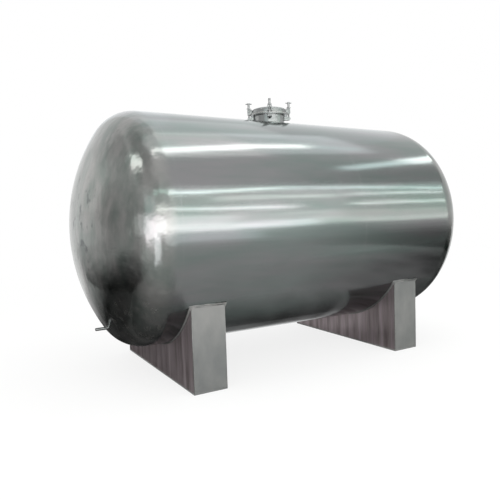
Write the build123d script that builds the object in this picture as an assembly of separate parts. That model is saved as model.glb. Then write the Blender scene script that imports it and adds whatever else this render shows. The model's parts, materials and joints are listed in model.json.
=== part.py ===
from build123d import *
import os
from math import asin, atan2, cos, degrees, hypot, radians, sin, sqrt

# A horizontal stainless storage tank on two box saddles, in millimetres.
# X runs along the tank, -Y is the front, Z = 0 is the floor and the origin is midway between the heads.

# Vessel
tank_diameter = 2000.0  # outside
shell_length = 2720.0  # between the two head seams
far_course_length = 1000.0  # the shell is rolled in two courses
shell_wall = 5.0
head_wall = 5.0
head_flange = 40.0  # straight part of each pressed head
head_crown_ratio = 0.8  # crown radius by diameter, the deep form of pressed head
head_knuckle_ratio = 0.154  # knuckle radius by diameter
ground_clearance = 260.0  # floor to the underside of the shell
weld_gap = 0.2  # left between curved pieces that are welded together

# Saddles
near_saddle_x = -1102.0
far_saddle_x = 1019.0
saddle_width = 284.0  # along the tank
saddle_span = 1634.0  # front face to back face
base_thickness = 12.0
web_thickness = 8.0
end_plate_thickness = 8.0
wear_plate_thickness = 6.0
wear_plate_lip = 15.0  # shows past the webs on each side and above the end plates

# Manway
manway_x = 20.0
neck_outer_radius = 152.0
neck_wall = 4.0
neck_height = 84.0  # above the top of the shell
neck_inside_length = 10.0  # stands into the tank
flange_radius = 184.0
flange_thickness = 12.0
gasket_thickness = 4.0
gasket_setback = 1.0  # its inner edge stands clear of the neck's outside by this
gasket_outer_radius = 181.0

# Lid
lid_rim_thickness = 8.0
lid_pan_radius = 170.0
lid_wall = 5.0
lid_pan_straight = 30.0
lid_crown_radius = 500.0
lid_knuckle_radius = 18.0
lug_overhang = 14.0  # past the bolt's axis
lug_thickness = 8.0
lug_gap = 27.0
lug_top = 52.0  # above the underside of the lid
lug_corner_radius = 9.0

# Swing bolts
bolt_count = 4
first_bolt_angle = 60.0  # from +X
bolt_circle_radius = 198.0
bolt_radius = 8.0
bolt_top = 186.0  # above the top of the shell
pivot_height = 44.0  # above the top of the shell
pin_radius = 6.0
pin_clearance = 0.1
pin_head_radius = 9.0
pin_head_thickness = 4.0
eye_radius = 15.0
eye_width = 18.0
ear_gap = 20.0
ear_thickness = 8.0
ear_radius = 16.0

# Tee nuts, slackened so that the bolts can swing out
nut_slack = 7.0
nut_collar_radius = 20.0
nut_collar_thickness = 6.0
nut_sleeve_radius = 11.5
nut_sleeve_height = 52.0
thread_clearance = 0.2
tee_bar_radius = 5.0
tee_bar_length = 60.0
tee_bar_drop = 8.0  # bar axis below the top of the sleeve

# Drain stub
drain_y = -100.0
drain_drop = 803.0  # below the tank axis
drain_reach = 102.8  # stands out of the head's face
drain_radius = 12.5
drain_bore_radius = 10.0
drain_inside_length = 8.0
drain_spigot_radius = 12.0
drain_spigot_length = 22.0

# Sizes that follow
tank_radius = tank_diameter / 2
half_shell = shell_length / 2
centre_height = ground_clearance + tank_radius
crown_z = centre_height + tank_radius
course_seam_x = half_shell - far_course_length
head_crown_radius = head_crown_ratio * tank_diameter
head_knuckle_radius = head_knuckle_ratio * tank_diameter
wear_inner_radius = tank_radius + weld_gap
wear_outer_radius = wear_inner_radius + wear_plate_thickness
saddle_seat_radius = wear_outer_radius + weld_gap
half_span = saddle_span / 2
gasket_inner_radius = neck_outer_radius + gasket_setback
lid_underside = neck_height + gasket_thickness
nut_base = lid_underside + lug_top + nut_slack
drain_offset = hypot(drain_y, drain_drop)  # from the tank axis


def head_depth(radius, crown, knuckle):
    """Height of a pressed head above its straight flange."""
    return crown - sqrt((crown - knuckle) ** 2 - (radius - knuckle) ** 2)


def head_outline(radius, crown, knuckle, flange):
    """Flange, knuckle and crown of a pressed head, from its open edge to its pole on the X axis."""
    knuckle_centre = (flange, radius - knuckle)
    crown_centre_x = flange + head_depth(radius, crown, knuckle) - crown
    turn = degrees(atan2(radius - knuckle, flange - crown_centre_x))
    return [
        Line((0, radius), (flange, radius)),
        CenterArc(knuckle_centre, knuckle, turn, 90 - turn),
        CenterArc((crown_centre_x, 0), crown, 0, turn),
    ]


def pressed_head(radius, wall, crown, knuckle, flange):
    """A dished end about the X axis, with its open edge at X = 0 and its pole on +X."""
    outer = head_outline(radius, crown, knuckle, flange)
    inner = head_outline(radius - wall, crown - wall, knuckle - wall, flange)
    pole = flange + head_depth(radius, crown, knuckle)
    ends = [Line((0, radius - wall), (0, radius)), Line((pole - wall, 0), (pole, 0))]
    return revolve(make_face(outer + inner + ends), Axis.X, 360)


def tank_axis_cylinder(radius, start_x, length):
    """A solid cylinder on the tank's own axis."""
    return extrude(Plane.YZ.offset(start_x) * Pos(0, centre_height) * Circle(radius), length)


def upright_ring(outer_radius, inner_radius, bottom, height):
    """A ring on the manway axis, its bottom given above the top of the shell."""
    ring = Circle(outer_radius) - Circle(inner_radius)
    return Pos(manway_x, 0, crown_z + bottom) * extrude(ring, height)


def shell_course(start_x, end_x):
    """One rolled course of the shell, cut for the manway neck where it passes."""
    length = end_x - start_x
    course = tank_axis_cylinder(tank_radius, start_x, length)
    course -= tank_axis_cylinder(tank_radius - shell_wall, start_x, length)
    neck_hole = Pos(manway_x, 0, centre_height) * extrude(Circle(neck_outer_radius + weld_gap), 2 * tank_radius)
    return course - neck_hole


def tank_heads():
    """The two pressed heads, the near one drilled for the drain."""
    head = pressed_head(tank_radius, head_wall, head_crown_radius, head_knuckle_radius, head_flange)
    far_head = Pos(half_shell, 0, centre_height) * head
    near_head = Pos(-half_shell, 0, centre_height) * mirror(head, about=Plane.YZ)
    drain_hole = drain_rod(drain_radius + weld_gap, drain_end_x(), -half_shell - drain_end_x())
    return near_head - drain_hole, far_head


def head_face_x(offset, inset):
    """X of the near head's crown at a distance from the tank axis, inset into its wall."""
    pole_x = half_shell + head_flange + head_depth(tank_radius, head_crown_radius, head_knuckle_radius)
    crown = head_crown_radius - inset
    return -(pole_x - head_crown_radius + sqrt(crown**2 - offset**2))


def drain_end_x():
    """X of the drain stub's outer end."""
    return head_face_x(drain_offset, 0) - drain_reach


def drain_rod(radius, start_x, length):
    """A round bar on the drain's axis, running towards +X."""
    centre = Pos(drain_y, centre_height - drain_drop)
    return extrude(Plane.YZ.offset(start_x) * centre * Circle(radius), length)


def drain_stub():
    """A short open tube through the near head, with a spigot turned on its outer end."""
    outer_end_x = drain_end_x()
    inner_end_x = head_face_x(drain_offset, head_wall) + drain_inside_length
    spigot = drain_rod(drain_spigot_radius, outer_end_x, drain_spigot_length)
    barrel_x = outer_end_x + drain_spigot_length
    barrel = drain_rod(drain_radius, barrel_x, inner_end_x - barrel_x)
    return spigot + barrel - drain_rod(drain_bore_radius, outer_end_x, inner_end_x - outer_end_x)


def saddle_web():
    """An upright web with its top edge cut to the wear plate, standing on the base plate."""
    inner_span = saddle_span - 2 * end_plate_thickness
    height = centre_height - base_thickness
    blank = Pos(0, base_thickness + height / 2) * Rectangle(inner_span, height)
    outline = blank - Pos(0, centre_height) * Circle(saddle_seat_radius)
    return extrude(Plane.YZ * outline, web_thickness)


def saddle_end_plate():
    """The plain plate that closes a saddle, its top edge bevelled to the wear plate."""
    height = centre_height - base_thickness
    middle = Pos(0, half_span - end_plate_thickness / 2, base_thickness + height / 2)
    plate = middle * Box(saddle_width, end_plate_thickness, height)
    return plate - tank_axis_cylinder(saddle_seat_radius, -saddle_width, 2 * saddle_width)


def wear_plate():
    """A curved plate under the shell, a lip wider than the saddle all round."""
    width = saddle_width + 2 * wear_plate_lip
    band = tank_axis_cylinder(wear_outer_radius, -width / 2, width)
    band -= tank_axis_cylinder(wear_inner_radius, -width, 2 * width)
    wrap = asin(half_span / wear_outer_radius) + wear_plate_lip / wear_outer_radius
    reach = 2 * wear_outer_radius
    corners = [(0, 0), (-reach * sin(wrap), -reach * cos(wrap)), (reach * sin(wrap), -reach * cos(wrap))]
    sector = Pos(0, centre_height) * make_face(Polyline(*corners, close=True))
    return band & extrude(Plane.YZ.offset(-width) * sector, 2 * width)


def saddle(side, saddle_x):
    """All six pieces of one saddle."""
    web = saddle_web()
    plate = saddle_end_plate()
    pieces = {
        "base_plate": Pos(0, 0, base_thickness / 2) * Box(saddle_width, saddle_span, base_thickness),
        "outer_web": Pos(-saddle_width / 2, 0, 0) * web,
        "inner_web": Pos(saddle_width / 2 - web_thickness, 0, 0) * web,
        "back_plate": plate,
        "front_plate": mirror(plate, about=Plane.XZ),
        "wear_plate": wear_plate(),
    }
    if saddle_x > 0:
        pieces["outer_web"], pieces["inner_web"] = pieces["inner_web"], pieces["outer_web"]
    return {f"{side}_saddle_{name}": Pos(saddle_x, 0, 0) * piece for name, piece in pieces.items()}


def manway_neck():
    """The neck tube, its lower end cut parallel to the shell."""
    trim_radius = tank_radius - shell_wall - neck_inside_length
    depth = tank_radius
    neck = upright_ring(neck_outer_radius, neck_outer_radius - neck_wall, -depth, depth + neck_height)
    return neck - tank_axis_cylinder(trim_radius, manway_x - tank_radius, 2 * tank_radius)


def at_bolt(piece, angle):
    """Turn a piece drawn at the +X side of the manway round to a bolt's place."""
    return Pos(manway_x, 0, crown_z) * Rot(0, 0, angle) * piece


def cheek_pair(outline, gap, thickness):
    """Two upright cheeks of one outline, drawn as radius and height, on both sides of a gap."""
    cheek = Plane.XZ * outline
    left = extrude(Pos(0, -gap / 2, 0) * cheek, thickness)
    return left + mirror(left, about=Plane.XZ)


def lid_lugs():
    """The forked lug that a swing bolt passes through, at the +X side."""
    inner = lid_pan_radius - lid_wall / 2
    length = bolt_circle_radius + lug_overhang - inner
    blank = Pos(inner + length / 2, lid_underside + lug_top / 2) * Rectangle(length, lug_top)
    tips = blank.vertices().sort_by(Axis.X)[-2:]
    return cheek_pair(fillet(tips, lug_corner_radius), lug_gap, lug_thickness)


def manway_lid(bolt_angles):
    """A pressed pan with a flat rim and one forked lug for each bolt."""
    rim = upright_ring(flange_radius, lid_pan_radius - lid_wall, lid_underside, lid_rim_thickness)
    pan = pressed_head(lid_pan_radius, lid_wall, lid_crown_radius, lid_knuckle_radius, lid_pan_straight)
    lid = rim + Pos(manway_x, 0, crown_z + lid_underside) * Rot(0, -90, 0) * pan
    for angle in bolt_angles:
        lid += at_bolt(lid_lugs(), angle)
    return lid


def bolt_bracket():
    """The ears under the flange that hold one swing bolt's pin, at the +X side."""
    ear_top = neck_height - flange_thickness
    root = neck_outer_radius - neck_wall
    arm = Pos((root + bolt_circle_radius) / 2, pivot_height) * Rectangle(bolt_circle_radius - root, 2 * ear_radius)
    rise = ear_top - pivot_height
    gusset = Pos((root + flange_radius) / 2, pivot_height + rise / 2) * Rectangle(flange_radius - root, rise)
    pivot = Pos(bolt_circle_radius, pivot_height)
    outline = arm + gusset + pivot * Circle(ear_radius) - pivot * Circle(pin_radius + pin_clearance)
    ears = cheek_pair(outline, ear_gap, ear_thickness)
    return ears - extrude(Circle(neck_outer_radius + weld_gap), neck_height)


def pivot_rod(radius, start, length):
    """A round bar on a swing bolt's hinge axis, at the +X side."""
    return Pos(bolt_circle_radius, start, pivot_height) * Rot(-90, 0, 0) * extrude(Circle(radius), length)


def bolt_pin():
    """The headed pin of one swing bolt, at the +X side."""
    reach = ear_gap / 2 + ear_thickness
    head = pivot_rod(pin_head_radius, reach + weld_gap, pin_head_thickness)
    return head + pivot_rod(pin_radius, -reach - pin_head_thickness, 2 * reach + 2 * pin_head_thickness)


def eye_bolt():
    """A swing bolt, eye and shank in one, at the +X side."""
    eye = pivot_rod(eye_radius, -eye_width / 2, eye_width)
    shank = Pos(bolt_circle_radius, 0, pivot_height) * extrude(Circle(bolt_radius), bolt_top - pivot_height)
    return eye + shank - pivot_rod(pin_radius + pin_clearance, -eye_width, 2 * eye_width)


def tee_nut():
    """A collared sleeve nut with a cross bar, at the +X side."""
    collar = extrude(Circle(nut_collar_radius), nut_collar_thickness)
    sleeve = extrude(Circle(nut_sleeve_radius), nut_collar_thickness + nut_sleeve_height)
    bar_height = nut_collar_thickness + nut_sleeve_height - tee_bar_drop
    bar = Plane.YZ.offset(-tee_bar_length / 2) * Pos(0, bar_height) * Circle(tee_bar_radius)
    thread = extrude(Circle(bolt_radius + thread_clearance), bolt_top + 1 - nut_base)
    nut = collar + sleeve + extrude(bar, tee_bar_length) - thread
    return Pos(bolt_circle_radius, 0, nut_base) * nut


def all_pieces():
    """Every piece of the tank by name."""
    near_head, far_head = tank_heads()
    bolt_angles = [first_bolt_angle + 360 / bolt_count * n for n in range(bolt_count)]
    pieces = {
        "near_head": near_head,
        "near_shell_course": shell_course(-half_shell, course_seam_x),
        "far_shell_course": shell_course(course_seam_x, half_shell),
        "far_head": far_head,
        "drain_stub": drain_stub(),
        "manway_neck": manway_neck(),
        "manway_flange": upright_ring(
            flange_radius, neck_outer_radius + weld_gap, neck_height - flange_thickness, flange_thickness
        ),
        "manway_gasket": upright_ring(gasket_outer_radius, gasket_inner_radius, neck_height, gasket_thickness),
        "manway_lid": manway_lid(bolt_angles),
    }
    for number, angle in enumerate(bolt_angles, start=1):
        pieces[f"bolt_bracket_{number}"] = at_bolt(bolt_bracket(), angle)
        pieces[f"bolt_pin_{number}"] = at_bolt(bolt_pin(), angle)
        pieces[f"swing_bolt_{number}"] = at_bolt(eye_bolt(), angle)
        pieces[f"tee_nut_{number}"] = at_bolt(tee_nut(), angle)
    pieces.update(saddle("near", near_saddle_x))
    pieces.update(saddle("far", far_saddle_x))
    return pieces


os.makedirs("parts", exist_ok=True)
for name, piece in all_pieces().items():
    export_step(piece, f"parts/{name}.step")
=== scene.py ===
import json
from math import asin, cos, pi, radians, sin, sqrt

import bmesh
import bpy
from mathutils import Matrix, Vector


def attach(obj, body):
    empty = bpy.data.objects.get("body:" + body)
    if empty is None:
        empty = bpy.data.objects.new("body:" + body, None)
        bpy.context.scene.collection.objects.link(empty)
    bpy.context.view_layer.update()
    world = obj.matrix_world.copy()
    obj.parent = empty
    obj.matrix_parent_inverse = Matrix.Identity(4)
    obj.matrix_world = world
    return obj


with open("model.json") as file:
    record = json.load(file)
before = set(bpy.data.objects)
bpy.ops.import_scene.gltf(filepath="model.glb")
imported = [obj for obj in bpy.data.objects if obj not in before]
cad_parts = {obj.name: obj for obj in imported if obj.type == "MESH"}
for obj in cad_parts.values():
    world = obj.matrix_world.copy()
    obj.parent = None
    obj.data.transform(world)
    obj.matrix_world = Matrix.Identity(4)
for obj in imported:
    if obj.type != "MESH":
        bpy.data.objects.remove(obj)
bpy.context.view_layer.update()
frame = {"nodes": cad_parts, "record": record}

mm = 0.001
nodes = frame["nodes"]

# the tank's own sizes, in metres, as the CAD has them
tank = {
    "radius": 1.0,
    "axisHeight": 1.26,
    "nearSeam": -1.36,
    "courseSeam": 0.36,
    "farSeam": 1.36,
    "manway": 0.02,
    "neckRadius": 0.152,
}


def hexColour(text):
    # from sRGB to linear
    channels = [int(text[n:n + 2], 16) / 255 for n in (1, 3, 5)]
    return [c / 12.92 if c <= 0.04045 else ((c + 0.055) / 1.055) ** 2.4 for c in channels] + [1.0]


def addNode(tree, kind, inputs=(), stops=(), **settings):
    node = tree.nodes.new("ShaderNode" + kind)
    for name, value in settings.items():
        setattr(node, name, value)
    for key, value in dict(inputs).items():
        if isinstance(value, bpy.types.NodeSocket):
            tree.links.new(value, node.inputs[key])
        else:
            node.inputs[key].default_value = value
    while stops and len(node.color_ramp.elements) < len(stops):
        node.color_ramp.elements.new(1)
    for n, (place, value) in enumerate(stops):
        node.color_ramp.elements[n].position = place
        node.color_ramp.elements[n].color = [value] * 3 + [1]
    return node


def mathNode(tree, operation, *values):
    return addNode(tree, "Math", dict(enumerate(values)), operation=operation).outputs[0]


def ranged(tree, value, low, high, start=0.0, end=1.0, **settings):
    return addNode(tree, "MapRange", {0: value, 1: low, 2: high, 3: start, 4: end}, **settings).outputs[0]


def mixed(tree, share, first, second):
    return addNode(tree, "Mix", {0: share, 6: first, 7: second}, data_type="RGBA").outputs[2]


def newMaterial(name):
    material = bpy.data.materials.new(name)
    material.use_nodes = True
    material.node_tree.nodes.clear()
    return material, material.node_tree


def finishMaterial(tree, colour, roughness, normal, metallic=1.0, **more):
    inputs = {"Base Color": colour, "Metallic": metallic, "Roughness": roughness, "Normal": normal, **more}
    shader = addNode(tree, "BsdfPrincipled", inputs)
    addNode(tree, "OutputMaterial", {"Surface": shader.outputs[0]})


photoCamera = {
    "place": (-2.74152, -4.29933, 1.3444),
    "yaw": 0.52642,  # from +Y towards +X
    "pitch": -0.06574,
    "roll": -0.03049,
    "lens": 36.425,
    "sensor": 36,
}


def makeCamera(c):
    forward = Vector((sin(c["yaw"]) * cos(c["pitch"]), cos(c["yaw"]) * cos(c["pitch"]), sin(c["pitch"])))
    level = Vector((cos(c["yaw"]), -sin(c["yaw"]), 0))
    above = level.cross(forward)
    right = cos(c["roll"]) * level + sin(c["roll"]) * above
    up = -sin(c["roll"]) * level + cos(c["roll"]) * above
    data = bpy.data.cameras.new("photoCamera")
    data.lens, data.sensor_width = c["lens"], c["sensor"]
    camera = bpy.data.objects.new("photoCamera", data)
    turn = Matrix((right, up, -forward)).transposed().to_4x4()
    camera.matrix_world = Matrix.Translation(c["place"]) @ turn
    bpy.context.scene.collection.objects.link(camera)
    bpy.context.scene.camera = camera


makeCamera(photoCamera)
bpy.context.scene.view_settings.view_transform = "Standard"
print("camera done")

# floor, world and lamps
studio = {
    "floorSize": 60.0,
    "floorColour": "#f2f2f0",
    "floorRoughness": 0.9,
    "worldColour": "#ffffff",
    "worldStrength": 1.0,
    "whiteShare": 0.8,  # beside the tank, where the rest is paint that takes the shadow
    "whiteFrom": 3.0,  # from here outwards the share grows, and from the next one the floor is all white
    "whiteTo": 9.0,
}


def makeWorld(s):
    world = bpy.data.worlds.new("whiteStudio")
    bpy.context.scene.world = world
    world.use_nodes = True
    world.node_tree.nodes.clear()
    light = {"Color": hexColour(s["worldColour"]), "Strength": s["worldStrength"]}
    sky = addNode(world.node_tree, "Background", light)
    addNode(world.node_tree, "OutputWorld", {"Surface": sky.outputs[0]})


def makeFloor(s):
    bm = bmesh.new()
    bmesh.ops.create_grid(bm, x_segments=1, y_segments=1, size=s["floorSize"] / 2)
    mesh = bpy.data.meshes.new("studioFloor")
    bm.to_mesh(mesh)
    bm.free()
    floor = bpy.data.objects.new("studioFloor", mesh)
    bpy.context.scene.collection.objects.link(floor)
    # painted board floor, matt; to the camera and to mirrors it is partly plain white, so that it meets the backdrop
    material, tree = newMaterial("mattPaintedFloor")
    matt = {"Base Color": hexColour(s["floorColour"]), "Roughness": s["floorRoughness"], "Specular IOR Level": 0.0}
    paint = addNode(tree, "BsdfPrincipled", matt)
    white = addNode(tree, "Emission", {"Color": hexColour(s["worldColour"]), "Strength": s["worldStrength"]})
    path = addNode(tree, "LightPath").outputs
    seen = mathNode(tree, "MAXIMUM", path["Is Camera Ray"], path["Is Glossy Ray"])
    seen = mathNode(tree, "MAXIMUM", seen, path["Is Transmission Ray"])
    away = addNode(tree, "VectorMath", {0: addNode(tree, "TexCoord").outputs["Object"]}, operation="LENGTH")
    share = ranged(tree, away.outputs["Value"], s["whiteFrom"], s["whiteTo"], s["whiteShare"], 1.0)
    share = mathNode(tree, "MULTIPLY", seen, share)
    both = addNode(tree, "MixShader", {0: share, 1: paint.outputs[0], 2: white.outputs[0]})
    addNode(tree, "OutputMaterial", {"Surface": both.outputs[0]})
    mesh.materials.append(material)


# one end, other end, width, radiance against white, tint
lampList = {
    "overheadLeft": ((-2.1, -1.88, 6), (-0.1, -1.76, 6), 0.42, 2.9, "#fffafa"),
    "overheadNear": ((-0.1, -1.79, 6), (1.66, -0.83, 6), 0.46, 3.6, "#fffffe"),
    "overheadMiddle": ((1.62, -0.8, 6), (2.95, -0.42, 6), 0.46, 3.34, "#fffdf9"),
    "overheadFar": ((2.9, -0.4, 6), (4.25, -0.44, 6), 0.4, 0.42, "#d7fffd"),
    "overheadGlowLeft": ((-2.6, -1.6, 6.05), (-0.4, -1.1, 6.05), 2.2, 0.38, "#f4fcff"),
    "overheadGlow": ((-0.4, -1.1, 6.05), (1.7, -0.5, 6.05), 2.5, 0.85, "#fcfffb"),
    "overheadGlowFar": ((1.7, -0.4, 6.05), (4.2, 0.3, 6.05), 2.5, 0.67, "#f4fbff"),
    "overheadBack": ((-0.6, 1.1, 6.02), (2.6, 1.9, 6.02), 2.4, 0.35, "#ffffff"),
    "skewNear": ((4.3, -3.0, 6), (5.7, -1.84, 6), 0.45, 1.85, "#edfeff"),
    "skewFar": ((5.7, -1.84, 6), (7.6, -0.3, 6), 0.6, 3.67, "#fafffe"),
    "highLineLeft": ((-5.4, -6, 5.25), (-0.95, -6, 4.76), 0.26, 1.9, "#dcfff4"),
    "highLineNear": ((-0.95, -6, 4.72), (1.86, -6, 5.08), 0.22, 6.5, "#f2fffe"),
    "highLineMiddle": ((1.86, -6, 5.08), (4.1, -6, 5.69), 0.22, 4.87, "#f1fffa"),
    "highLineFar": ((4.1, -6, 5.72), (10.5, -6, 5.93), 0.22, 4.11, "#effffe"),
    "midLineNear": ((1.7, -6, 4.12), (4.9, -6, 4.44), 0.34, 1.75, "#f6fff7"),
    "midLineFar": ((5.3, -6, 4.6), (9.2, -6, 5.12), 0.2, 4.09, "#fffcfe"),
    "lowLineLeft": ((-4.8, -6, 3.34), (-1.5, -6, 3.16), 0.26, 4.95, "#f4fff8"),
    "lowLineNear": ((-1.5, -6, 3.18), (3.4, -6, 3.08), 0.22, 4.85, "#fffdfe"),
    "lowLineFar": ((5.0, -6, 3.4), (9.6, -6, 3.78), 0.22, 3.55, "#fbfffb"),
    "wallGlowLeft": ((-6.5, -6.05, 3.9), (-0.8, -6.05, 3.9), 3.0, 0.15, "#ffffff"),
    "wallGlowNear": ((-0.8, -6.05, 3.9), (2.4, -6.05, 3.9), 3.0, 0.43, "#f3fff1"),
    "wallGlowMiddle": ((2.4, -6.05, 3.9), (5.0, -6.05, 3.9), 3.0, 0.57, "#f8fff9"),
    "wallGlowFar": ((5.0, -6.05, 3.9), (10.5, -6.05, 3.9), 2.9, 0.20, "#b4ffd1"),
    "bandUpperNear": ((-2.2, -6, 2.05), (1.9, -6, 2.05), 0.9, 1.95, "#fffefd"),
    "bandUpperMiddle": ((1.9, -6, 2.05), (4.4, -6, 2.25), 0.8, 1.11, "#fffdfb"),
    "bandUpperFar": ((4.4, -6, 2.3), (10.5, -6, 2.3), 0.7, 0.71, "#f3fff0"),
    "bandNear": ((-2.2, -6, 1.3), (1.9, -6, 1.3), 0.6, 3.02, "#fffdfd"),
    "bandMiddle": ((1.9, -6, 1.35), (3.7, -6, 1.5), 0.6, 2.96, "#fffbff"),
    "bandFar": ((3.7, -6, 1.6), (10.5, -6, 1.55), 0.6, 1.32, "#f2fff3"),
    "bandSkirt": ((-2.6, -6, 0.5), (2.4, -6, 0.5), 0.9, 0.62, "#edfcff"),
    "bandLeft": ((-4.9, -6, 1.6), (-2.2, -6, 1.6), 1.4, 3.3, "#fefcff"),
    "bandCorner": ((-7.2, -3.3, 1.3), (-4.9, -6.0, 1.3), 2.1, 2.7, "#fff8ff"),
    "bandCornerEnd": ((-8.6, -1.3, 1.6), (-7.2, -3.3, 1.6), 1.5, 1.5, "#fffaff"),
    "cornerGlow": ((-7.4, -3.3, 3.5), (-5.1, -6.0, 3.5), 1.8, 0.35, "#dcfffc"),
    "softTop": ((-1.5, 5.0, 6.6), (1.5, 5.0, 6.6), 9.6, 0.20, "#e3f0ff"),
    "softTopFar": ((1.5, 5.0, 6.6), (8.5, 5.0, 6.6), 9.6, 0.10, "#d9f2ff"),
    "softLeft": ((-10.0, 4.5, 3.8), (-5.0, 10.0, 3.8), 3.6, 0.21, "#fffaf7"),
    "softLeftLow": ((-10.0, 4.5, 1.1), (-5.0, 10.0, 1.1), 1.7, 0.3, "#ffffff"),
    "bandCornerFade": ((-9.4, 0.6, 1.5), (-8.6, -1.3, 1.5), 1.3, 0.8, "#ffffff"),
    "kneeLamp": ((-2.56, -2.4, 0.05), (-2.5, -2.4, 1.1), 0.6, 1.5, "#f9f9ff"),
    "kneeHigh": ((-5.6, 0.1, 5.0), (-4.1, -1.5, 5.0), 0.9, 2.4, "#fffffc"),
}
lampTarget = (0, 0, 1.3)  # each lamp is turned about its length to face this


def makeLamps(lamps, target):
    for name, (start, end, width, radiance, tint) in lamps.items():
        start, end = Vector(start), Vector(end)
        along = (end - start).normalized()
        back = (start + end) / 2 - Vector(target)
        back = (back - back.dot(along) * along).normalized()
        data = bpy.data.lights.new(name, "AREA")
        data.shape = "RECTANGLE"
        data.size, data.size_y = (end - start).length, width
        data.energy = radiance * pi * data.size * data.size_y  # watts for that radiance
        data.color = hexColour(tint)[:3]
        lamp = bpy.data.objects.new(name, data)
        turn = Matrix((along, back.cross(along), back)).transposed().to_4x4()
        lamp.matrix_world = Matrix.Translation((start + end) / 2) @ turn
        lamp.visible_camera = False
        bpy.context.scene.collection.objects.link(lamp)


# dark sheets that only reflections see: painted dark reflections of the surroundings
# one end, other end, rise, cover along it, cover up it, how patchy, colour
flagList = {
    "flagRight": ((1.6, -4.0, 0.02), (4.6, -0.8, 0.02), (0, 0, 1.6),
                  ((0.03, 0), (0.27, 0.4), (0.45, 0.7), (0.7, 0.85)),
                  ((0.0, 1), (0.5, 1), (0.85, 0)), 0.1, "#18241f"),
    "matRight": ((0.2, -2.1, 0.015), (5.2, -3.0, 0.015), (0.0, 2.4, 0),
                 ((0.0, 0), (0.16, 0.35), (0.36, 0.7), (0.5, 0.92)),
                 ((0.0, 0.3), (0.4, 1), (1.0, 1)), 0.2, "#141a18"),
    "matFront": ((-4.5, -6.5, 0.012), (6.5, -6.5, 0.012), (0.0, 6.3, 0),
                 ((0.0, 0), (0.1, 0.8), (0.3, 1.0)),
                 ((0.0, 0), (0.3, 0.28), (0.7, 0.36), (0.82, 0.42), (0.9, 0.5), (1.0, 0.6)), 0.15, "#1a1c1b"),
    # the next three mats lie under the tank: painted shade of the floor there, as reflections see it
    "paintedShadeUnder": ((0.4, -0.9, 0.01), (3.6, -0.9, 0.01), (0.6, 7.0, 0),
                 ((0.0, 0), (0.1, 0.5), (0.16, 0.85), (1.0, 0.95)),
                 ((0.0, 0.1), (0.04, 0.4), (0.12, 0.9), (0.8, 0.9), (1.0, 0)), 0.1, "#121413"),
    "paintedShadeBelow": ((-1.6, -1.0, 0.008), (0.8, -1.0, 0.008), (0.0, 1.3, 0),
                 ((0.0, 0), (0.18, 0.5), (0.42, 0.9), (0.75, 0.95), (0.94, 0.8), (1.0, 0)),
                 ((0.0, 0), (0.24, 0.42), (0.48, 0.9), (0.8, 0.95), (1.0, 0)), 0.2, "#121413"),
    "paintedShadeBehind": ((-1.6, 0.6, 0.009), (0.7, 0.6, 0.009), (0.0, 1.6, 0),
                  ((0.0, 0.9), (0.6, 0.9), (1.0, 0.7)),
                  ((0.0, 0), (0.3, 0.9), (1.0, 0.9)), 0.1, "#121413"),
    "flagLeft": ((-3.0, -1.6, 0.02), (-3.0, 3.6, 0.02), (0, 0, 1.6),
                 ((0.0, 0), (0.15, 0.9), (0.8, 0.9), (1.0, 0.3)),
                 ((0.0, 1), (0.18, 0.9), (0.35, 0.5), (0.6, 0.32), (0.95, 0.15)), 0.4, "#10100e"),
    "matLeft": ((-9.0, -2.2, 0.015), (-9.0, 3.4, 0.015), (8.0, 0, 0),
                ((0.0, 0), (0.1, 0.12), (0.17, 0.35), (0.23, 0.56), (0.28, 0.64), (0.3, 0.72),
                 (0.39, 0.97), (0.56, 1), (0.66, 0.75), (0.8, 0.45), (1.0, 0.25)),
                ((0.0, 0.1), (0.25, 0.4), (0.5, 0.75), (0.65, 0.92), (0.8, 1)), 0.06, "#0c0c0c"),
    "flagFarLeft": ((-6.0, -4.0, 0.2), (-6.0, 3.8, 0.2), (0, 0, 4.4),
                    ((0.0, 0), (0.2, 0.4), (0.6, 0.45), (0.78, 0.6), (1.0, 0)),
                    ((0.0, 0.5), (0.3, 1), (0.55, 1), (1.0, 0.1)), 0.3, "#1c211c"),
    "flagCorner": ((-3.0, -5.2, 3.4), (-6.2, -1.4, 3.4), (0.99, 0.83, 1.65),
                   ((0.0, 0), (0.15, 0.5), (0.85, 0.6), (1.0, 0)),
                   ((0.0, 0), (0.25, 0.2), (0.4, 0.7), (0.85, 0.7), (1.0, 0)), 0.2, "#1c2a24"),
    "flagHighLeft": ((-4.5, -3.6, 5.2), (-4.5, 1.6, 5.2), (2.6, 0, 0.6),
                     ((0.0, 0), (0.2, 0.5), (0.8, 0.45), (1.0, 0)),
                     ((0.0, 0.3), (0.3, 1), (0.7, 0.8), (1.0, 0)), 0.2, "#1c2a26"),
    "flagUpperLeft": ((-6.6, 1.4, 4.0), (-4.55, 4.35, 4.0), (1.37, -0.96, 2.0),
                      ((0.0, 0), (0.2, 0.45), (0.7, 0.4), (1.0, 0)),
                      ((0.0, 0), (0.3, 1), (0.8, 1), (1.0, 0)), 0.3, "#1c2a24"),
    "flagHighRight": ((3.5, -6.5, 6.4), (12.0, -4.5, 6.4), (0.6, 3.6, 1.5),
                      ((0.0, 0), (0.35, 0.35), (1.0, 0.55)),
                      ((0.0, 1), (0.6, 1), (1.0, 0.3)), 0.1, "#24443a"),
}
feltPatch = {"perMetre": 2.2, "detail": 3.0, "low": 0.35, "high": 0.65}


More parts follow.
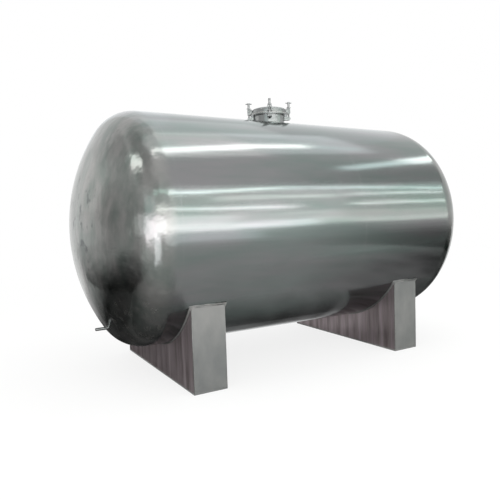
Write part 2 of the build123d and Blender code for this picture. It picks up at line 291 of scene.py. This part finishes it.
def makeFelt(name, alongStops, upStops, patchy, colour, patch):
    # a dark sheet, thinned out to its edges, that paints dark reflections
    material, tree = newMaterial(name)
    coordinates = addNode(tree, "TexCoord").outputs
    place = addNode(tree, "SeparateXYZ", {0: coordinates["UV"]}).outputs
    sideways = addNode(tree, "ValToRGB", {0: place[0]}, alongStops)
    upwards = addNode(tree, "ValToRGB", {0: place[1]}, upStops)
    cover = mathNode(tree, "MULTIPLY", sideways.outputs[0], upwards.outputs[0])
    cloth = {"Vector": coordinates["Object"], "Scale": patch["perMetre"], "Detail": patch["detail"]}
    patches = addNode(tree, "TexNoise", cloth).outputs[0]
    cover = mathNode(tree, "MULTIPLY", cover, ranged(tree, patches, patch["low"], patch["high"], 1 - patchy, 1.0))
    felt = addNode(tree, "BsdfDiffuse", {"Color": hexColour(colour)})
    clear = addNode(tree, "BsdfTransparent")
    both = addNode(tree, "MixShader", {0: cover, 1: clear.outputs[0], 2: felt.outputs[0]})
    addNode(tree, "OutputMaterial", {"Surface": both.outputs[0]})
    return material


def makeFlags(flags, patch):
    # sheets that only reflections see: painted dark reflections, and under the tank painted shade of the floor
    for name, (start, end, rise, alongStops, upStops, patchy, colour) in flags.items():
        start, end, rise = Vector(start), Vector(end), Vector(rise)
        bm = bmesh.new()
        bm.loops.layers.uv.verify()
        bmesh.ops.create_grid(bm, x_segments=1, y_segments=1, size=0.5, calc_uvs=True)
        place = Matrix((end - start, rise, (end - start).cross(rise))).transposed().to_4x4()
        bmesh.ops.transform(bm, matrix=Matrix.Translation((start + end + rise) / 2) @ place, verts=bm.verts)
        mesh = bpy.data.meshes.new(name)
        bm.to_mesh(mesh)
        bm.free()
        flag = bpy.data.objects.new(name, mesh)
        bpy.context.scene.collection.objects.link(flag)
        mesh.materials.append(makeFelt(name + "PaintedReflection", alongStops, upStops, patchy, colour, patch))
        flag.visible_camera = flag.visible_diffuse = flag.visible_shadow = flag.visible_transmission = False


makeWorld(studio)
makeFloor(studio)
makeLamps(lampList, lampTarget)
makeFlags(flagList, feltPatch)
print("studio done")

# materials: every pattern reads Object coordinates, and its sizes are in metres
noiseLow, noiseHigh = 0.3, 0.7  # nearly all of a noise's values lie between these


def noise(tree, place, size, **settings):
    scale = [1 / length if length else 0 for length in size]
    scaled = addNode(tree, "Mapping", {"Vector": place, "Scale": scale})
    return addNode(tree, "TexNoise", {"Vector": scaled.outputs[0], "Scale": 1.0, **settings}).outputs[0]


def tinted(tree, factor, f):
    # from the dark tint to the light one within tintSpan of the noise's middle
    share = ranged(tree, factor, 0.5 - f["tintSpan"], 0.5 + f["tintSpan"])
    return mixed(tree, share, hexColour(f["dark"]), hexColour(f["light"]))


def dulled(tree, factor, f, low=noiseLow, high=noiseHigh):
    return ranged(tree, factor, low, high, f["roughness"] - f["glossier"], f["roughness"] + f["duller"])


def bumped(tree, layers, strength=1.0, normal=None):
    # layers of height and depth, one on another
    for height, depth in layers:
        inputs = {"Height": height, "Distance": depth, "Strength": strength}
        if normal is not None:
            inputs["Normal"] = normal
        normal = addNode(tree, "Bump", inputs).outputs[0]
    return normal


shellFinish = {
    "dark": "#7a8481",
    "light": "#888889",
    "tintSpan": 0.14,
    "tintPatch": (1400 * mm, 260 * mm, 260 * mm),
    "roughness": 0.135,
    "glossier": 0.03,
    "duller": 0.05,
    "line": (520 * mm, 9 * mm, 9 * mm),  # real polishing lines are near 0.1 mm, drawn coarse enough to show
    "lineDepth": 0.05 * mm,
    "band": (2600 * mm, 70 * mm, 70 * mm),
    "bandDepth": 0.35 * mm,
    "wave": (1500 * mm, 520 * mm, 520 * mm),
    "waveDepth": 4.5 * mm,
    "weldFull": 3.6 * mm,  # distance from the seam to which a ground weld shows fully, and where it ends
    "weldEnd": 7.2 * mm,
    "weldColour": "#898c8b",
    "weldDuller": 0.08,
    "weldSpeckle": (3 * mm, 14 * mm, 14 * mm),
    "seams": (tank["nearSeam"], tank["courseSeam"], tank["farSeam"]),
}


def polishingLines(tree, place, f):
    return noise(tree, place, f["line"], Detail=3.0, Roughness=0.65)


def plateColour(tree, place, f):
    return tinted(tree, noise(tree, place, f["tintPatch"], Detail=3.0, Roughness=0.6), f)


def rolledBumps(tree, place, f, lines, strength=1.0):
    # slow waves, polishing bands and lines
    waves = noise(tree, place, f["wave"], Detail=1.0)
    bands = noise(tree, place, f["band"], Detail=2.0, Roughness=0.5)
    layers = ((waves, f["waveDepth"]), (bands, f["bandDepth"]), (lines, f["lineDepth"]))
    return bumped(tree, layers, strength)


def polishedShell(f):
    # 304 stainless plate, rolled and polished lengthwise: reflections drawn out along it, and flush ground welds
    material, tree = newMaterial("lengthwisePolishedStainless")
    place = addNode(tree, "TexCoord").outputs["Object"]
    along = addNode(tree, "SeparateXYZ", {0: place}).outputs[0]
    lines = polishingLines(tree, place, f)
    weld = 0.0
    for seam in f["seams"]:
        gap = mathNode(tree, "ABSOLUTE", mathNode(tree, "SUBTRACT", along, seam))
        weld = mathNode(tree, "MAXIMUM", weld, ranged(tree, gap, f["weldFull"], f["weldEnd"], 1.0, 0.0))
    weld = mathNode(tree, "MULTIPLY", weld, noise(tree, place, f["weldSpeckle"], Detail=2.0))
    colour = mixed(tree, weld, plateColour(tree, place, f), hexColour(f["weldColour"]))
    roughness = mathNode(tree, "MULTIPLY_ADD", weld, f["weldDuller"], dulled(tree, lines, f))
    finishMaterial(tree, colour, roughness, rolledBumps(tree, place, f, lines))
    return material


headFinish = {
    "dark": "#787f7b",
    "light": "#929290",
    "tintSpan": 0.15,
    "cloud": (210 * mm, 130 * mm, 260 * mm),
    "cloudLow": 0.35,
    "roughness": 0.15,
    "glossier": 0.02,
    "duller": 0.06,
    "dent": (170 * mm, 190 * mm, 230 * mm),
    "dentDepth": 4.2 * mm,
    "hammer": (48 * mm, 52 * mm, 75 * mm),
    "hammerDepth": 0.8 * mm,
    "knuckleDent": (95 * mm, 80 * mm, 80 * mm),
    "knuckleDentDepth": 2.0 * mm,
    "knuckleFrom": 0.62,  # distance from the tank's axis where the knuckle's dents begin, and where they are full
    "knuckleTo": 0.86,
    "scuff": 62 * mm,  # handling marks low on the head
    "scuffRange": (0.52, 0.7),
    "scuffShare": 0.5,
    "scuffBelow": 1.0,
    "scuffFull": 0.55,
    "scuffColour": "#a9a8a4",
    "scuffDuller": 0.35,
    "paintedReflection": (90 * mm, 90 * mm, 110 * mm),  # dark patches about the head's middle, painted reflections of dark things nearby
    "paintedReflectionRange": (0.57, 0.66),
    "paintedReflectionShare": 0.75,
    "paintedReflectionWithin": 0.6,
    "paintedReflectionFull": 0.36,
    "paintedReflectionColour": "#3c4144",
    "seamPlace": -tank["nearSeam"],
    "seamFade": 130 * mm,  # planished and polished with the shell at the seam, and over this length the marks grow
    "spunLine": 7 * mm,  # polishing rings about the tank's axis, real ones are near 0.2 mm
    "spunDepth": 0.03 * mm,
}


def headMarks(tree, place, fromAxis, f):
    # where the scuffs and the painted dark reflections are
    height = addNode(tree, "SeparateXYZ", {0: place}).outputs[2]
    scuffs = noise(tree, place, [f["scuff"]] * 3, Detail=3.0, Roughness=0.5)
    scuffs = ranged(tree, scuffs, *f["scuffRange"], 0.0, f["scuffShare"])
    scuffs = mathNode(tree, "MULTIPLY", scuffs, ranged(tree, height, f["scuffBelow"], f["scuffFull"]))
    # dark patches near the head's middle: painted dark reflections
    smudges = noise(tree, place, f["paintedReflection"], Detail=3.0, Roughness=0.6)
    smudges = ranged(tree, smudges, *f["paintedReflectionRange"], 0.0, f["paintedReflectionShare"])
    smudges = mathNode(tree, "MULTIPLY", smudges, ranged(tree, fromAxis, f["paintedReflectionWithin"], f["paintedReflectionFull"]))
    return scuffs, smudges


def headDents(tree, place, fromAxis, f):
    # the press's broad dents, the knuckle's smaller ones and the hammer's fine ones
    dents = noise(tree, place, f["dent"], Detail=2.0, Roughness=0.45)
    bent = ranged(tree, fromAxis, f["knuckleFrom"], f["knuckleTo"])
    marks = mathNode(tree, "MULTIPLY", noise(tree, place, f["knuckleDent"], Detail=2.0, Roughness=0.5), bent)
    hammer = noise(tree, place, f["hammer"], Detail=1.0, Roughness=0.4)
    return (dents, f["dentDepth"]), (marks, f["knuckleDentDepth"]), (hammer, f["hammerDepth"])


def polishedHead(f, shell):
    # stainless plate, pressed cold and then spun and polished: mirror-like, with the press's shallow dents left in it
    material, tree = newMaterial("pressedPolishedStainless")
    place = addNode(tree, "TexCoord").outputs["Object"]
    toAxis = {"Vector": place, "Location": (0, 0, -tank["axisHeight"]), "Scale": (0, 1, 1)}
    fromAxis = addNode(tree, "VectorMath", {0: addNode(tree, "Mapping", toAxis).outputs[0]}, operation="LENGTH")
    fromAxis = fromAxis.outputs["Value"]
    along = mathNode(tree, "ABSOLUTE", addNode(tree, "SeparateXYZ", {0: place}).outputs[0])
    seam = f["seamPlace"]
    grown = ranged(tree, along, seam, seam + f["seamFade"], interpolation_type="SMOOTHSTEP")
    near = mathNode(tree, "SUBTRACT", 1.0, grown)
    clouds = noise(tree, place, f["cloud"], Detail=3.0, Roughness=0.5)
    lines = polishingLines(tree, place, shell)
    scuffs, smudges = headMarks(tree, place, fromAxis, f)
    colour = mixed(tree, near, tinted(tree, clouds, f), plateColour(tree, place, shell))
    colour = mixed(tree, scuffs, colour, hexColour(f["scuffColour"]))
    # the painted dark reflections laid over the head's colour
    colour = mixed(tree, smudges, colour, hexColour(f["paintedReflectionColour"]))
    roughness = dulled(tree, clouds, f, low=f["cloudLow"])
    roughness = mathNode(tree, "MULTIPLY_ADD", scuffs, f["scuffDuller"], roughness)
    shellRoughness = dulled(tree, lines, shell)
    roughness = addNode(tree, "Mix", {0: near, 2: roughness, 3: shellRoughness}).outputs[0]
    bump = rolledBumps(tree, place, shell, lines, near)
    bump = bumped(tree, headDents(tree, place, fromAxis, f), grown, bump)
    rings = addNode(tree, "CombineXYZ", {0: fromAxis}).outputs[0]
    rings = noise(tree, rings, (f["spunLine"], 0, 0), Detail=3.0, Roughness=0.7)
    bump = bumped(tree, [(rings, f["spunDepth"])], 1.0, bump)
    finishMaterial(tree, colour, roughness, bump)
    return material


saddleFinish = {
    "dark": "#636564",
    "light": "#787876",
    "tintSpan": 0.16,
    "patch": (260 * mm, 260 * mm, 420 * mm),
    "line": (5 * mm, 5 * mm, 240 * mm),  # real grain is near 0.1 mm
    "lineDepth": 0.05 * mm,
    "waveDepth": 0.5 * mm,
    "metallic": 0.15,  # the coarse satin face scatters most of its light
    "roughness": 0.46,
    "glossier": 0.045,
    "duller": 0.09,
}
webFinish = {
    # the dark and light tints, laid in upright bands, are painted reflections
    "dark": "#665d5d",
    "light": "#a2979a",
    "tintSpan": 0.16,
    "patch": (0, 95 * mm, 900 * mm),  # upright bands: the plate's slight waviness, with light and dark tints that are painted reflections
    "line": (9 * mm, 9 * mm, 420 * mm),  # real roller lines are near 0.1 mm
    "lineDepth": 0.1 * mm,
    "waveDepth": 1.2 * mm,
    "metallic": 0.62,
    "roughness": 0.34,
    "glossier": 0.04,
    "duller": 0.08,
}
fittingFinish = {
    "dark": "#818584",
    "light": "#929494",
    "tintSpan": 0.16,
    "patch": (40 * mm, 40 * mm, 55 * mm),
    "line": (60 * mm, 60 * mm, 1.6 * mm),  # real turning lines are near 0.2 mm
    "lineDepth": 0.02 * mm,
    "waveDepth": 0.25 * mm,
    "metallic": 1.0,
    "roughness": 0.16,
    "glossier": 0.035,
    "duller": 0.07,
}


def rolledSteel(name, f):
    material, tree = newMaterial(name)
    place = addNode(tree, "TexCoord").outputs["Object"]
    lines = noise(tree, place, f["line"], Detail=3.0, Roughness=0.7)
    patches = noise(tree, place, f["patch"], Detail=4.0, Roughness=0.55)
    bump = bumped(tree, ((patches, f["waveDepth"]), (lines, f["lineDepth"])))
    finishMaterial(tree, tinted(tree, patches, f), dulled(tree, lines, f), bump, f["metallic"])
    return material


boltFinish = {
    "dark": "#858988",
    "light": "#9c9c9c",
    "tintSpan": 0.15,
    "patch": (14 * mm, 14 * mm, 20 * mm),
    "roughness": 0.22,
    "glossier": 0.04,
    "duller": 0.08,
    "pitch": 2.0 * mm,
    "threadDepth": 0.9 * mm,
    "threadStrength": 0.35,
}


def turnedSteel(f):
    # A2 stainless bar, turned and threaded: fine rings round it that catch the light
    material, tree = newMaterial("turnedStainlessBar")
    place = addNode(tree, "TexCoord").outputs["Object"]
    patches = noise(tree, place, f["patch"], Detail=3.0)
    height = addNode(tree, "SeparateXYZ", {0: place}).outputs[2]
    turns = mathNode(tree, "SINE", mathNode(tree, "MULTIPLY", height, 2 * pi / f["pitch"]))
    bump = bumped(tree, [(turns, f["threadDepth"] / 2)], f["threadStrength"])
    finishMaterial(tree, tinted(tree, patches, f), dulled(tree, patches, f), bump)
    return material


gasketFinish = {
    "dark": "#cfcfc8",
    "light": "#e2e2dc",
    "tintSpan": 0.15,
    "dust": (9 * mm, 9 * mm, 9 * mm),
    "dustDepth": 0.05 * mm,
    "dustStrength": 0.6,
    "roughness": 0.5,
    "glossier": 0.08,
    "duller": 0.12,
    "refraction": 1.41,
}


def whiteSilicone(f):
    # food-grade silicone rubber, moulded: milky, soft-edged highlights, slightly dusty
    material, tree = newMaterial("mouldedWhiteSilicone")
    place = addNode(tree, "TexCoord").outputs["Object"]
    dust = noise(tree, place, f["dust"], Detail=5.0, Roughness=0.6)
    bump = bumped(tree, [(dust, f["dustDepth"])], f["dustStrength"])
    finishMaterial(tree, tinted(tree, dust, f), dulled(tree, dust, f, 0.0, 1.0), bump, 0.0, IOR=f["refraction"])
    return material


finishes = {
    "shell_stainless": polishedShell(shellFinish),
    "head_stainless": polishedHead(headFinish, shellFinish),
    # stainless plate with a brushed satin face: soft, upright grain
    "saddle_stainless": rolledSteel("satinStainlessPlate", saddleFinish),
    # bright cold-rolled stainless plate as it left the mill: a little waviness, and upright light and dark bands that
    # are painted reflections
    "web_stainless": rolledSteel("millBrightStainlessPlate", webFinish),
    # machined and buffed stainless: clear reflections with fine turning lines
    "fitting_stainless": rolledSteel("buffedStainlessFitting", fittingFinish),
    "bolt_stainless": turnedSteel(boltFinish),
    "gasket_rubber": whiteSilicone(gasketFinish),
}
slotOf = {row["node"]: row["material_slot"] for row in frame["record"]["subparts"]}
for name, piece in nodes.items():
    piece.data.materials.clear()
    piece.data.materials.append(finishes[slotOf[name]])
print("materials done")

weldFinish = {
    "dark": "#7b7d7c",
    "light": "#a09f9c",
    "tintSpan": 0.15,
    "stain": (30 * mm, 30 * mm, 30 * mm),
    "roughness": 0.3,
    "glossier": 0.05,
    "duller": 0.12,
    "ripple": 3.2 * mm,
    "rippleDepth": 0.5 * mm,
}


def weldBead(f):
    # stainless filler laid by TIG and pickled: dull silver, with the small steps where each drop froze
    material, tree = newMaterial("pickledStainlessWeld")
    place = addNode(tree, "TexCoord").outputs["Object"]
    drops = noise(tree, place, [f["ripple"]] * 3, Detail=1.0, Roughness=0.4)
    stains = noise(tree, place, f["stain"], Detail=3.0)
    finishMaterial(tree, tinted(tree, stains, f), dulled(tree, drops, f), bumped(tree, [(drops, f["rippleDepth"])]))
    return material


weldMaterial = weldBead(weldFinish)
beadSides = 10


def addPiece(bm, name, material=weldMaterial):
    bmesh.ops.recalc_face_normals(bm, faces=bm.faces)
    mesh = bpy.data.meshes.new(name)
    bm.to_mesh(mesh)
    bm.free()
    mesh.shade_smooth()
    mesh.materials.append(material)
    piece = bpy.data.objects.new(name, mesh)
    bpy.context.scene.collection.objects.link(piece)
    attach(piece, "vessel")


def section(bm, centre, size, turn):
    # the round outline of a bead, standing across its run
    place = Matrix.Translation(centre) @ turn
    made = bmesh.ops.create_circle(bm, segments=beadSides, radius=size, matrix=place)["verts"]
    return made + list({edge for vert in made for edge in vert.link_edges})


def axisBead(bm, x, radius, size, halfAngle, steps=72):
    # a bead that runs round the underside of the tank
    axis = Vector((x, 0, tank["axisHeight"]))
    outline = section(bm, axis - Vector((0, 0, radius)), size, Matrix.Rotation(pi / 2, 4, "X"))
    verts = [part for part in outline if isinstance(part, bmesh.types.BMVert)]
    bmesh.ops.rotate(bm, cent=axis, matrix=Matrix.Rotation(-halfAngle, 3, "X"), verts=verts)
    bmesh.ops.spin(bm, geom=outline, cent=axis, axis=(1, 0, 0), angle=2 * halfAngle, steps=steps)


def ringBead(bm, centre, reach, size, turn, axis, steps):
    outline = section(bm, centre + Vector(reach), size, turn)
    bmesh.ops.spin(bm, geom=outline, cent=centre, axis=axis, angle=2 * pi, steps=steps, use_merge=True)


def straightBead(bm, start, end, size):
    start, end = Vector(start), Vector(end)
    turn = (end - start).to_track_quat("Z", "Y").to_matrix().to_4x4()
    bmesh.ops.create_cone(bm, cap_ends=True, segments=beadSides, radius1=size, radius2=size,
                          depth=(end - start).length, matrix=Matrix.Translation((start + end) / 2) @ turn)


def closeEnds(bm):
    bmesh.ops.holes_fill(bm, edges=[edge for edge in bm.edges if edge.is_boundary], sides=0)


# the beads that join the saddles' plates, and each saddle to the shell
saddleWeld = {
    "places": {"near": -1.102, "far": 1.019},
    "width": 284 * mm,
    "span": 1634 * mm,
    "endPlate": 8 * mm,
    "baseTop": 12 * mm,
    "lip": 15 * mm,
    "seatRadius": 1006.3 * mm,
    "webBead": 3.5 * mm,
    "webBeadOut": 0.5 * mm,  # the bead's middle lies this far out of the plate's face
    "shellBead": 3.2 * mm,
    "shellBeadOut": 1 * mm,
    "edgeBeadOut": 2 * mm,
    "cornerBead": 1.6 * mm,
    "cornerBeadIn": 0.64 * mm,
}


def makeSaddleWelds(w):
    half, lip, span = w["width"] / 2, w["lip"], w["span"] / 2
    radius, axis = tank["radius"], tank["axisHeight"]
    reach = asin((span - w["endPlate"]) / w["seatRadius"])  # the webs stop at the end plates
    wrap = asin(span / w["seatRadius"]) + lip / w["seatRadius"]
    foot = axis - sqrt(w["seatRadius"] ** 2 - span ** 2)
    for side, x in w["places"].items():
        bm = bmesh.new()
        for face in (-1, 1):
            axisBead(bm, x + face * half, w["seatRadius"], w["webBead"], reach)
            y = face * (span + w["webBeadOut"])
            straightBead(bm, (x - half, y, foot), (x + half, y, foot), w["webBead"])
        closeEnds(bm)
        addPiece(bm, side + "SeatWeld")
        bm = bmesh.new()
        for face in (-1, 1):
            axisBead(bm, x + face * (half + lip), radius + w["shellBeadOut"], w["shellBead"], wrap)
            out = radius + w["edgeBeadOut"]
            y, z = face * out * sin(wrap), axis - out * cos(wrap)
            straightBead(bm, (x - half - lip, y, z), (x + half + lip, y, z), w["shellBead"])
        closeEnds(bm)
        addPiece(bm, side + "ShellWeld")
        bm = bmesh.new()
        size, inside, low = w["cornerBead"], w["cornerBeadIn"], w["baseTop"]
        for across in (-1, 1):
            for along in (-1, 1):
                corner = (x + along * (half - inside), across * (span - inside))
                straightBead(bm, (*corner, size), (*corner, foot), size)
            y = across * (span - inside)
            straightBead(bm, (x - half, y, low), (x + half, y, low), size)
            edge = x + across * (half - inside)
            straightBead(bm, (edge, -span, low), (edge, span, low), size)
        addPiece(bm, side + "PlateWeld")


# the beads round the manway's neck and the drain
openingWeld = {
    "neckBead": 5 * mm,
    "flangeUnderside": 2.332,
    "flangeBead": 3 * mm,
    "drainPlace": (-0.100, 0.457),
    "drainRadius": 12.5 * mm,
    "drainBead": 2.2 * mm,
    "crownCentre": -0.309,
    "crownRadius": 1.6,
}


def makeOpeningWelds(w):
    radius, axis = tank["radius"], tank["axisHeight"]
    upright, reach = Matrix.Rotation(pi / 2, 4, "X"), (tank["neckRadius"], 0, 0)
    bm = bmesh.new()
    centre = Vector((tank["manway"], 0, axis + radius))
    ringBead(bm, centre, reach, w["neckBead"], upright, (0, 0, 1), steps=96)
    for vert in bm.verts:  # let down on to the round of the shell
        vert.co.z += sqrt(radius ** 2 - vert.co.y ** 2) - radius
    addPiece(bm, "neckWeld")
    bm = bmesh.new()
    centre.z = w["flangeUnderside"]
    ringBead(bm, centre, reach, w["flangeBead"], upright, (0, 0, 1), steps=96)
    addPiece(bm, "flangeWeld")
    bm = bmesh.new()
    centre = Vector((0, *w["drainPlace"]))
    turn = Matrix.Rotation(pi / 2, 4, "Y") @ upright
    ringBead(bm, centre, (0, 0, w["drainRadius"]), w["drainBead"], turn, (1, 0, 0), steps=32)
    for vert in bm.verts:  # pushed out to the dished face of the head
        vert.co.x += w["crownCentre"] - sqrt(w["crownRadius"] ** 2 - vert.co.y ** 2 - (vert.co.z - axis) ** 2)
    addPiece(bm, "drainWeld")


# at each swing bolt: the beads down its two ears, and the split pin through the plain end of its hinge pin
hingeDetail = {
    "angles": (60, 150, 240, 330),
    "earOutside": 18 * mm,
    "earBead": 2.4 * mm,
    "earBeadOut": 0.72 * mm,
    "earFoot": 2.288,
    "earTop": 2.331,
    "pinPlace": (0.198, -0.0202, 2.304),
    "wire": 0.9 * mm,
    "eye": 2.7 * mm,
    "legAbove": 8.8 * mm,
    "legBelow": 11 * mm,
    "spread": 2.2 * mm,
}


def makeHingeDetails(h):
    for number, angle in enumerate(h["angles"], 1):
        turn = Matrix.Translation((tank["manway"], 0, 0)) @ Matrix.Rotation(radians(angle), 4, "Z")
        bm = bmesh.new()
        for side in (-1, 1):
            y = side * (h["earOutside"] + h["earBeadOut"])
            x = sqrt(tank["neckRadius"] ** 2 - y ** 2) + h["earBeadOut"]
            straightBead(bm, (x, y, h["earFoot"]), (x, y, h["earTop"]), h["earBead"])
        bmesh.ops.transform(bm, matrix=turn, verts=bm.verts)
        addPiece(bm, "earWeld%d" % number)
        bm = bmesh.new()
        x, y, z = h["pinPlace"]
        for side in (-1, 1):
            leg = x + side * h["wire"]
            straightBead(bm, (leg, y, z + h["legAbove"]), (leg, y, z - h["legBelow"]), h["wire"])
        for vert in bm.verts:  # the two legs are bent apart below the pin
            if vert.co.z < z:
                vert.co.x += h["spread"] if vert.co.x > x else -h["spread"]
        eyeCentre = Vector((x, y, z + h["legAbove"] + h["eye"]))
        ringBead(bm, eyeCentre, (0, 0, h["eye"]), h["wire"], Matrix.Rotation(pi / 2, 4, "Y"), (0, 1, 0), steps=20)
        bmesh.ops.transform(bm, matrix=turn, verts=bm.verts)
        addPiece(bm, "splitPin%d" % number, finishes["bolt_stainless"])


makeSaddleWelds(saddleWeld)
makeOpeningWelds(openingWeld)
makeHingeDetails(hingeDetail)
print("welds and pins done")
